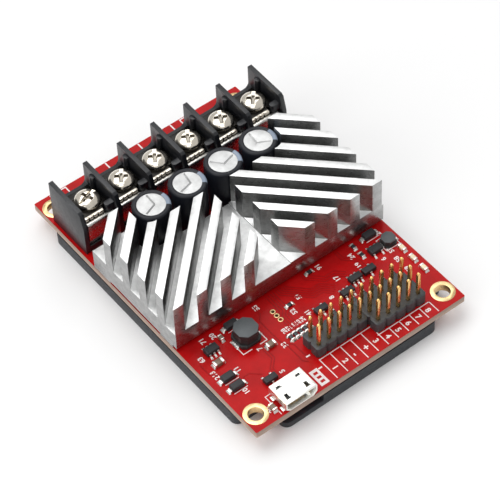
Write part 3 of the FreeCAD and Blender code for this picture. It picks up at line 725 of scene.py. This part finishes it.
class MODULE_OT_capacitor_sleeves(PieceOperator):
    """Shrunk sleeves with a pale polarity stripe"""
    bl_idname = "module.capacitor_sleeves"
    bl_label = "Capacitor sleeves"
    stripe_middle = math.radians(-12)
    stripe_half = math.radians(27)
    window = 2.95 * MM
    film = 0.14 * MM
    wall = 0.10 * MM

    def make(self, size):
        for number in CAPACITORS:
            node = "capacitor_sleeve_%d" % number
            low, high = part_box(node)
            centre = middle((low, high))
            profile = self.profile((high.x - low.x) / 2, low.z, high.z)
            sleeve = turned("film_sleeve_%d" % number, profile, centre.x, centre.y, 90)
            pick_faces(sleeve, lambda face: len(face.verts) > 4)
            bpy.ops.mesh.delete(type="FACE")
            done()
            apply_modifier(sleeve, "SOLIDIFY", thickness=self.wall, offset=-1)
            sleeve.data.materials.append(material("sleeve"))
            sleeve.data.materials.append(material("stripe"))
            for face in sleeve.data.polygons:
                out = face.center - centre
                bend = math.atan2(out.y, out.x) - self.stripe_middle
                off = abs((bend + math.pi) % (2 * math.pi) - math.pi)
                if off < self.stripe_half and math.hypot(out.x, out.y) > self.window:
                    face.material_index = 1
            finish(sleeve, None, [node])

    def profile(self, outer, low, high):
        """Straight side, rounded shoulder and the lip round the window."""
        return [(outer, low), (outer, high - 0.60 * MM), (outer - 0.05 * MM, high - 0.33 * MM),
                (outer - 0.17 * MM, high - 0.13 * MM), (outer - 0.36 * MM, high - 0.02 * MM),
                (outer - 0.48 * MM, high), (self.window + 0.12 * MM, high - 0.02 * MM),
                (self.window, high - 0.07 * MM), (self.window, high - self.film)]


class MODULE_OT_capacitor_bungs(PieceOperator):
    """Rubber seals and leads under the cans"""
    bl_idname = "module.capacitor_bungs"
    bl_label = "Capacitor bungs"

    def make(self, size):
        softened("capacitor_bungs", "rubber_bungs", size.sheet_edge, "rubber",
                 angle=40)


class MODULE_OT_headers(PieceOperator):
    """Pin headers: notched plastic and gilded pins"""
    bl_idname = "module.headers"
    bl_label = "Pin headers"

    def make(self, size):
        for kind in ("signal", "encoder"):
            softened(kind + "_header_housing", kind + "_header_body", 0.09 * MM, "header")
            softened(kind + "_header_pins", kind + "_gilded_pins", 0.05 * MM, "pin")


class MODULE_OT_usb_socket(PieceOperator):
    """Sheet metal socket with spring windows, its insulator and contacts"""
    bl_idname = "module.usb_socket"
    bl_label = "USB socket"
    # distance from the mouth, width and depth of the windows on each side, in millimetres
    windows = ((1.55, 0.75, 1.25), (4.25, 0.95, 0.5))
    window_side = 2.35 * MM
    through = 1.0 * MM

    def make(self, size):
        shell = merged_copy("usb_shell", "socket_shell")
        low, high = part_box("usb_shell")
        for side in (-1, 1):
            x = middle((low, high)).x + side * self.window_side
            for forward, width, depth in self.windows:
                width, depth = width * MM, depth * MM
                y = low.y + forward * MM
                carve(shell, long_box("window", (x, y, high.z), (width, depth, self.through)))
                foot = (x, y - depth * 0.42, high.z)
                carve(shell, long_box("foot", foot, (width * 1.45, depth * 0.3, self.through)))
        bevel(shell, size.sheet_edge)
        finish(shell, "shell", ["usb_shell"])
        softened("usb_tongue", "socket_tongue", size.sheet_edge, "header")
        softened("usb_contacts", "socket_contacts", 0.03 * MM, "pin")


def nearest(boxes, place):
    return min(boxes, key=lambda box: (middle(box) - place).length)


class MODULE_OT_small_chips(PieceOperator):
    """Moulded chips with a pin mark and bent feet"""
    bl_idname = "module.small_chips"
    bl_label = "Small chips"
    sheet = 0.16 * MM
    # steps of the lead's end face, back and up in millimetres: toe, slope, shoulder and root
    lead_steps = ((0.1, 0.06), (0.1, 0.3), (0.08, 0.05), (0.16, 0.0))

    def make(self, size):
        bodies = islands("small_chips")
        chips = merged_copy("small_chips", "moulded_chips")
        bevel(chips, 0.09 * MM)
        for low, high in bodies:
            mark = [(0.16 * MM, high.z - 0.06 * MM), (0.16 * MM, high.z + 0.1 * MM)]
            carve(chips, turned("mark", mark, low.x + 0.42 * MM, low.y + 0.36 * MM, 20))
        finish(chips, "epoxy", ["small_chips"])
        leads = [self.gull_wing(x, edge, out, floor) for x, edge, out, floor in chip_feet(bodies)]
        finish(join(leads, "gull_wing_feet"), "tin", ["small_chip_feet"])

    def gull_wing(self, x, edge, out, floor):
        """One lead: flat toe, slope and shoulder, drawn by extruding its end face."""
        lead = long_box("lead", (x, edge + out * 0.53 * MM, floor + self.sheet / 2 + 0.02 * MM),
                        (0.4 * MM, 0.26 * MM, self.sheet))
        pick_faces(lead, lambda face: face.normal.y * out < -0.9)
        for step, rise in self.lead_steps:
            extrude(0, -out * step * MM, rise * MM)
        done()
        bevel(lead, 0.03 * MM, 1, 50)
        return lead


def chip_feet(bodies):
    """For each chip foot: its x, its chip's edge, its side (1 or -1) and its lowest point."""
    for low, high in islands("small_chip_feet"):
        centre = middle((low, high))
        chip = nearest(bodies, centre)
        out = 1 if centre.y > middle(chip).y else -1
        yield centre.x, (chip[1].y if out > 0 else chip[0].y), out, low.z


def solder_model():
    """One solder fillet: one unit wide and deep, highest against its part."""
    obj = start_primitive("fillet", bpy.ops.mesh.primitive_cube_add, size=1, location=(0, 0, 0.5))
    apply_place(obj)
    pick_faces(obj, lambda face: face.normal.z > 0.9)
    bpy.ops.transform.resize(value=(0.72, 0.34, 1), center_override=(0, -0.4, 1))
    done()
    bevel(obj, 0.1, 3, 20)
    return obj


def fillet_place(x, y, turn, width, depth, height):
    place = Matrix.Translation((x, y, BOARD_TOP)) @ Matrix.Rotation(turn, 4, "Z")
    return place @ Matrix.Diagonal((width, depth, height, 1))


class MODULE_OT_solder_joints(PieceOperator):
    """Bright solder at the ends of every surface-mounted part"""
    bl_idname = "module.solder_joints"
    bl_label = "Solder joints"
    cap_distance = 1.4 * MM             # a cap nearer than this to a part's middle is that part's

    def make(self, size):
        model = solder_model()
        places = self.at_chip_parts() + self.at_chip_feet() + self.at_large_parts()
        pieces = [placed_copy(model, "joint", place) for place in places]
        remove(model)
        finish(join(pieces, "solder_fillets"), "tin")

    def at_chip_parts(self):
        places = []
        caps = islands("chip_end_caps")
        for node in ("chip_resistors", "ceramic_capacitors", "status_leds"):
            for part in islands(node):
                tall = part[1].z - part[0].z
                for cap in caps:
                    offset = middle(cap) - middle(part)
                    if offset.length >= self.cap_distance:
                        continue
                    turn = math.atan2(offset.y, offset.x) - math.pi / 2
                    turn = round(turn / (math.pi / 2)) * math.pi / 2
                    half = (cap[1] - cap[0]) / 2
                    reach, across = half.y, half.x
                    if abs(offset.x) > abs(offset.y):
                        reach, across = half.x, half.y
                    out = Matrix.Rotation(turn, 4, "Z") @ Vector((0, reach + 0.12 * MM, 0))
                    spot = middle(cap) + out
                    places.append(fillet_place(spot.x, spot.y, turn, 2 * across + 0.16 * MM,
                                               0.5 * MM, 0.55 * tall))
        return places

    def at_chip_feet(self):
        return [fillet_place(x, edge + out * 0.72 * MM, 0 if out > 0 else math.pi,
                             0.5 * MM, 0.42 * MM, 0.14 * MM)
                for x, edge, out, _ in chip_feet(islands("small_chips"))]

    def at_large_parts(self):
        places = []
        parts = islands("diodes") + islands("power_inductor") + islands("filter_inductor")
        for low, high in islands("diode_end_caps") + islands("inductor_feet"):
            centre = middle((low, high))
            out = 1 if centre.x > middle(nearest(parts, centre)).x else -1
            edge = high.x if out > 0 else low.x
            places.append(fillet_place(edge + out * 0.2 * MM, centre.y, -out * math.pi / 2,
                                       high.y - low.y + 0.3 * MM, 0.5 * MM, 0.32 * MM))
        return places


class MODULE_OT_chip_parts(PieceOperator):
    """Resistors, ceramic capacitors, status lights and their metal ends"""
    bl_idname = "module.chip_parts"
    bl_label = "Chip parts"

    def make(self, size):
        for node, name, kind, slot in (
                ("chip_resistors", "glazed_resistors", "resistor", "resistor_black"),
                ("ceramic_capacitors", "fired_capacitors", "ceramic", "capacitor_ceramic"),
                ("status_leds", "cloudy_lights", "lens", "led_lens"),
                ("chip_end_caps", "tinned_ends", "tin", "solder_tin")):
            softened(node, name, 0.05 * MM, kind)


class MODULE_OT_diodes(PieceOperator):
    """Moulded diodes and their folded ends"""
    bl_idname = "module.diodes"
    bl_label = "Diodes"

    def make(self, size):
        softened("diodes", "moulded_diodes", 0.08 * MM, "epoxy")
        softened("diode_end_caps", "folded_ends", 0.07 * MM, "tin", segments=3)


class MODULE_OT_inductors(PieceOperator):
    """Inductors: dark sides under a paler lid with rounded corners; the dark stands for the winding
    and for painted shade under the lid
    """
    bl_idname = "module.inductors"
    bl_label = "Inductors"
    lid = 0.30 * MM

    def make(self, size):
        for node, name, edge in (("power_inductor", "large_inductor", 0.15 * MM),
                                 ("filter_inductor", "small_inductor", 0.07 * MM)):
            core = merged_copy(node, name)
            bevel(core, edge, 3)
            core.data.materials.append(material("winding_and_painted_shade"))
            core.data.materials.append(material("ferrite"))
            for face in core.data.polygons:
                if face.center.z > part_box(node)[1].z - self.lid:
                    face.material_index = 1
            finish(core, None, [node])
        softened("inductor_feet", "tinned_feet", 0.05 * MM, "tin")


class MODULE_OT_plating(PieceOperator):
    """Gold rings of the mounting holes and test holes"""
    bl_idname = "module.plating"
    bl_label = "Plating"

    def make(self, size):
        softened("mounting_hole_rings", "gold_rings", 0.025 * MM, "gold")
        softened("test_hole_rings", "gold_pads", 0.025 * MM, "gold")


class MODULE_OT_hidden_parts(PieceOperator):
    """Power stage, chips under the board and fixing screws"""
    bl_idname = "module.hidden_parts"
    bl_label = "Hidden parts"

    def make(self, size):
        for node, name, kind, slot in (
                ("power_transistors", "flat_transistors", "epoxy", "chip_plastic"),
                ("microcontroller", "controller_chip", "epoxy", "chip_plastic"),
                ("gate_drivers", "driver_chips", "epoxy", "chip_plastic"),
                ("current_shunts", "shunt_bars", "shunt", "shunt_metal"),
                ("thermal_pad", "soft_pad", "pad", "thermal_rubber"),
                ("fixing_screws", "black_screws", "black_steel", "black_steel")):
            softened(node, name, size.sheet_edge, kind)


class MODULE_OT_circuit_board(PieceOperator):
    """Glossy red board with a bare cut edge"""
    bl_idname = "module.circuit_board"
    bl_label = "Circuit board"

    def make(self, size):
        board = NODES["circuit_board"]
        board.data.materials.clear()
        board.data.materials.append(material("board"))


# ---- printed marks and tracks ----
def board_point(x, y, lift=0.0):
    return Vector((x * MM, y * MM, BOARD_TOP + lift))


def strokes(name, lines, width, height, lap=1.0):
    """Straight bars between points, each lapping past its ends by part of its width."""
    holder = start_primitive(name, bpy.ops.mesh.primitive_cube_add, size=1)
    edit(holder)
    bpy.ops.mesh.select_all(action="SELECT")
    bpy.ops.mesh.delete(type="VERT")
    for number, (start, end, wide) in enumerate(lines):
        first, last = board_point(*start), board_point(*end)
        run = last - first
        tall = height * (1 + 0.12 * (number % 3))       # tops that cross don't lie in one plane
        spot = (first + last) / 2 + Vector((0, 0, tall / 2))
        bpy.ops.mesh.primitive_cube_add(
            size=1, location=spot, rotation=(0, 0, math.atan2(run.y, run.x)),
            scale=(run.length + lap * wide * width, wide * width, tall))
    done()
    return holder


def polyline(points, wide=1.0):
    return [(a, b, wide) for a, b in zip(points, points[1:])]


def beside(route, offset):
    """The same route a fixed distance to its left, mitred at the corners."""
    points = [Vector(point) for point in route]
    runs = [(b - a).normalized() for a, b in zip(points, points[1:])]
    shifted = []
    for k, point in enumerate(points):
        before, after = runs[max(k - 1, 0)], runs[min(k, len(runs) - 1)]
        across = (before + after).normalized()
        side = Vector((-across.y, across.x)) / across.dot(after)
        shifted.append(tuple(point + offset * side))
    return shifted


def frame_lines(x0, y0, x1, y1, wide=1.0):
    return polyline([(x0, y0), (x1, y0), (x1, y1), (x0, y1), (x0, y0)], wide)


def printed_text(words, x, y, tall, turn, height):
    """Generic digits and signs, as a flat mesh on the board."""
    select_nothing()
    bpy.ops.object.text_add()
    text = bpy.context.object
    text.data.body = words
    text.data.size = tall * 1.35
    text.data.align_x = "CENTER"
    text.data.align_y = "CENTER"
    text.data.resolution_u = 2
    text.data.extrude = height / 2
    text.data.offset = tall * 0.04
    only(text)
    bpy.ops.object.convert(target="MESH")
    mark = bpy.context.object
    place = Matrix.Translation(board_point(x, y, height / 2)) @ Matrix.Rotation(
        math.radians(turn), 4, "Z")
    mark.data.transform(place)
    return mark


class MODULE_OT_tracks(PieceOperator):
    """Copper tracks that show as low ridges under the mask"""
    bl_idname = "module.tracks"
    bl_label = "Tracks"

    def make(self, size):
        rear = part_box("heatsink")[0].y / MM - 0.3
        lines = []
        for count, pitch, route in (
                (4, 0.62, [(-3.6, rear), (-3.6, -17.2), (-4.6, -18.2), (-4.6, -22.4)]),
                (5, 0.55, [(-0.9, rear), (-0.9, -13.2), (3.3, -17.4), (5.4, -17.4), (7.4, -19.4)]),
                (3, 0.60, [(4.9, rear), (4.9, -13.6), (7.5, -16.2), (9.8, -16.2), (11.4, -17.8)]),
                (2, 0.60, [(13.4, rear), (13.4, -14.4), (15.6, -16.6), (15.6, -18.4)]),
                (1, 0.60, [(-7.9, rear), (-7.9, -15.0), (-9.1, -16.2), (-9.1, -22.6), (-8.6, -24.6),
                           (-8.6, -29.2), (-7.8, -30.0)]),
                (1, 0.60, [(-8.4, -24.0), (-7.4, -25.0), (-7.4, -28.2), (-6.9, -28.7)]),
                (1, 0.60, [(-24.6, -17.4), (-24.6, -20.4), (-23.4, -21.6)]),
                (1, 0.60, [(-20.0, -25.0), (-18.4, -25.0), (-16.6, -26.8)]),
                (2, 0.55, [(-12.6, -22.0), (-12.6, -25.0), (-14.4, -26.8), (-14.4, -30.2)])):
            for k in range(count):
                lines += polyline(beside(route, (k - (count - 1) / 2) * pitch))
        tracks = strokes("mask_ridges", lines, size.track_width, size.track_height, 0.4)
        finish(tracks, "track")


class MODULE_OT_printed_marks(PieceOperator):
    """White outlines, boxes and generic numbers"""
    bl_idname = "module.printed_marks"
    bl_label = "Printed marks"

    def make(self, size):
        lines = self.label_frames() + self.part_outlines() + self.back_marks()
        ink = strokes("ink", lines, size.ink_line, size.ink_height)
        bevel(ink, 0.2 * size.ink_height, 1, 40)
        pieces = [ink]
        for words, x, y, tall, turn in self.words():
            pieces.append(printed_text(words, x, y, tall * MM, turn, size.ink_height))
        finish(join(pieces, "printed_marks"), "ink")

    def label_frames(self):
        """Boxes in front of the headers, one for each column of pins."""
        control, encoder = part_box("signal_header_housing"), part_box("encoder_header_housing")
        right, left = control[1].x / MM + 0.25, encoder[0].x / MM + 0.1
        split = encoder[1].x / MM
        front = BOARD_LOW.y / MM + 0.5
        gap = 0.35
        rear_right = control[0].y / MM - gap
        rear_left = encoder[0].y / MM - gap
        lines = [((split, rear_right), (right, rear_right), 1),
                 ((left, rear_left), (split, rear_left), 1)]
        columns = 10
        for k in range(columns + 1):
            x = left + k * (right - left) / columns
            rear = rear_right if x > split + HEADER_PITCH / 2 else rear_left
            lines.append(((x, front), (x, rear), 1))
        return lines

    def part_outlines(self):
        low, high = (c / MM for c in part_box("power_inductor"))
        gap = 0.45
        lines = polyline([(low.x + 1.6, low.y - gap), (low.x - gap, low.y - gap),
                          (low.x - gap, low.y + 1.4)])
        lines += polyline([(high.x - 1.2, low.y - gap), (high.x + gap, low.y - gap),
                           (high.x + gap, low.y + 1.8)])
        low, high = (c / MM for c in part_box("filter_inductor"))
        lines += frame_lines(low.x - 0.2, low.y - 0.2, high.x + 0.2, high.y + 0.2, 0.8)
        for box in islands("diodes"):
            low, high = box[0] / MM, box[1] / MM
            lines.append(((low.x, low.y - 0.25), (high.x + 0.4, low.y - 0.25), 0.8))
        low, high = (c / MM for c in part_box("usb_shell"))
        lines += polyline([(low.x - 0.5, low.y + 0.6), (low.x - 0.5, high.y + 0.1),
                           (low.x + 0.8, high.y + 0.1)], 0.8)
        for y in (-28.9, -32.6):
            lines.append(((-7.4, y), (-6.8, y), 1.6))
        return lines

    def back_marks(self):
        """Lines between the ways of the terminal block and two boxed signs."""
        back = BOARD_HIGH.y / MM - 0.3
        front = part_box("terminal_housing")[1].y / MM + 0.4
        lines = []
        for bay in (2, 3, 4):
            x = middle(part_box("terminal_contact_%d" % bay)).x / MM + 4.1
            lines.append(((x, front), (x, back), 1.6))
        for left in (-22.2, 11.0):
            lines += frame_lines(left, front + 0.4, left + 3.8, back, 1.4)
        return lines

    def words(self):
        marks = []
        front = BOARD_LOW.y / MM
        for k, label in enumerate(("1", "2", "-", "+", "3", "4", "5", "6", "7", "8")):
            x = -4.83 + HEADER_PITCH * k
            y = front + (2.6 if k < 5 else 1.9)
            marks.append((label, x, y, 1.5 if label in "+-" else 1.25, -90))
        for label, x, y in (
                ("71", -20.7, -13.1), ("63", -23.6, -16.6), ("20", -18.4, -13.4),
                ("213", -23.8, -21.2), ("11", -19.6, -22.8), ("10", -21.4, -27.9),
                ("7", -13.2, -21.6), ("33", -8.9, -23.9), ("51", 0.6, -16.2),
                ("52", -2.4, -18.6), ("53", -7.6, -13.2), ("91", 8.4, -12.9),
                ("41", -0.4, -20.6), ("8", 5.6, -20.6), ("17", 9.4, -17.6),
                ("19", 14.9, -17.6), ("24", 15.2, -15.0), ("6", 19.8, -19.6),
                ("2", 23.2, -14.0), ("5", -13.2, -28.6), ("57", 22.3, -18.7),
                ("58", 21.9, -21.4), ("59", 21.9, -24.6), ("20", -20.6, -34.2)):
            marks.append((label, x, y, 1.1, 90))
        for k in range(5):
            marks.append((str(28 - k), -6.84 + 1.15 * k, -21.2, 0.95, 90))
        for label, x in (("1", -20.3), ("2", 12.9)):
            marks.append((label, x, 34.2, 1.5, 0))
        return marks


class MODULE_OT_label_plate(PieceOperator):
    """Filled white label beside the USB socket with three bare windows"""
    bl_idname = "module.label_plate"
    bl_label = "Label plate"

    def make(self, size):
        x, y = -8.62, -34.2
        plate = long_box("white_label", board_point(x, y, size.ink_height / 2),
                         (1.95 * MM, 4.1 * MM, size.ink_height))
        for k in (-1, 0, 1):
            place = board_point(x, y + k * 1.1)
            carve(plate, long_box("window", place, (0.95 * MM, 0.62 * MM, 1 * MM)))
        bevel(plate, 0.008 * MM, 1, 40)
        finish(plate, "ink")


# ---- stage ----
class MODULE_OT_stage(PieceOperator):
    """Pale floor, soft lights and the camera"""
    bl_idname = "module.stage"
    bl_label = "Stage"
    azimuth, height_angle, roll = -0.62114, 0.87739, -0.05334       # radians
    distance = 0.46626
    target = (0.0006, -0.0008, 0.0052)
    lens = 167.5                        # millimetres on a 36 mm sensor
    sky_strength = 0.62
    # name, place, side and power of each square light
    softboxes = (("key_softbox", (-0.10, 0.20, 0.62), 0.50, 1.9),
                 ("rear_softbox", (0.30, 0.42, 0.62), 0.42, 0.8),
                 ("left_softbox", (-0.55, -0.10, 0.30), 0.45, 0.9))

    def make(self, size):
        self.floor()
        self.sky()
        for softbox in self.softboxes:
            self.light(*softbox)
        self.camera()

    def floor(self):
        floor = start_primitive("pale_floor", bpy.ops.mesh.primitive_grid_add, x_subdivisions=8,
                                y_subdivisions=8, size=6.0, location=(0, 0, CAD_LOW.z - 0.00002))
        apply_place(floor)
        made = plain("pale_floor", colours().floor, 0.75, 0.9, 6, 0.1 * MM)
        floor.data.materials.append(made.material)

    def sky(self):
        world = bpy.data.worlds.new("soft_room")
        world.use_nodes = True
        sky = world.node_tree.nodes["Background"]
        sky.inputs["Color"].default_value = (1, 1, 1, 1)
        sky.inputs["Strength"].default_value = self.sky_strength
        bpy.context.scene.world = world
        bpy.context.scene.view_settings.view_transform = "Standard"

    def light(self, name, place, side, power):
        data = bpy.data.lights.new(name, "AREA")
        data.shape = "SQUARE"
        data.size = side
        data.energy = power
        lamp = bpy.data.objects.new(name, data)
        lamp.location = place
        lamp.rotation_euler = (-Vector(place)).to_track_quat("-Z", "Y").to_euler()
        bpy.context.scene.collection.objects.link(lamp)

    def camera(self):
        a, e, r = self.azimuth, self.height_angle, self.roll
        back = Vector((math.sin(a) * math.cos(e), -math.cos(a) * math.cos(e), math.sin(e)))
        right = Vector((0, 0, 1)).cross(back).normalized()
        up = back.cross(right)
        right, up = (math.cos(r) * right + math.sin(r) * up, math.cos(r) * up - math.sin(r) * right)
        data = bpy.data.cameras.new("camera")
        data.lens = self.lens
        data.sensor_width = 36
        data.clip_start = 0.01
        camera = bpy.data.objects.new("camera", data)
        turn = Matrix((right, up, back)).transposed().to_4x4()
        camera.matrix_world = Matrix.Translation(Vector(self.target) + back * self.distance) @ turn
        bpy.context.scene.collection.objects.link(camera)
        bpy.context.scene.camera = camera


OPERATORS = (
    MODULE_OT_stage, MODULE_OT_circuit_board, MODULE_OT_bottom_cover, MODULE_OT_heatsink,
    MODULE_OT_terminal_housing, MODULE_OT_terminal_contacts, MODULE_OT_wire_clamps,
    MODULE_OT_clamp_screws, MODULE_OT_capacitor_cans, MODULE_OT_capacitor_sleeves,
    MODULE_OT_capacitor_bungs, MODULE_OT_headers, MODULE_OT_usb_socket, MODULE_OT_small_chips,
    MODULE_OT_chip_parts, MODULE_OT_diodes, MODULE_OT_inductors, MODULE_OT_solder_joints,
    MODULE_OT_plating, MODULE_OT_hidden_parts, MODULE_OT_tracks, MODULE_OT_printed_marks,
    MODULE_OT_label_plate,
)


class MODULE_PT_panel(bpy.types.Panel):
    """Lists the module's pieces in the sidebar"""
    bl_label = "Motor Driver Module"
    bl_idname = "MODULE_PT_panel"
    bl_space_type = "VIEW_3D"
    bl_region_type = "UI"
    bl_category = "Motor Driver"

    def draw(self, context):
        for operator in OPERATORS:
            self.layout.operator(operator.bl_idname)
        for group in (context.scene.module_sizes, context.scene.module_colours):
            for name in group.__annotations__:
                self.layout.prop(group, name)


CLASSES = (ModuleSizes, ModuleColours) + OPERATORS + (MODULE_PT_panel,)


def register():
    for item in CLASSES:
        bpy.utils.register_class(item)
    bpy.types.Scene.module_sizes = PointerProperty(type=ModuleSizes)
    bpy.types.Scene.module_colours = PointerProperty(type=ModuleColours)


def unregister():
    del bpy.types.Scene.module_colours
    del bpy.types.Scene.module_sizes
    for item in reversed(CLASSES):
        bpy.utils.unregister_class(item)


def main():
    register()
    for operator in OPERATORS:
        name = operator.bl_idname.split(".")[1]
        getattr(bpy.ops.module, name)()


if __name__ == "__main__":
    main()
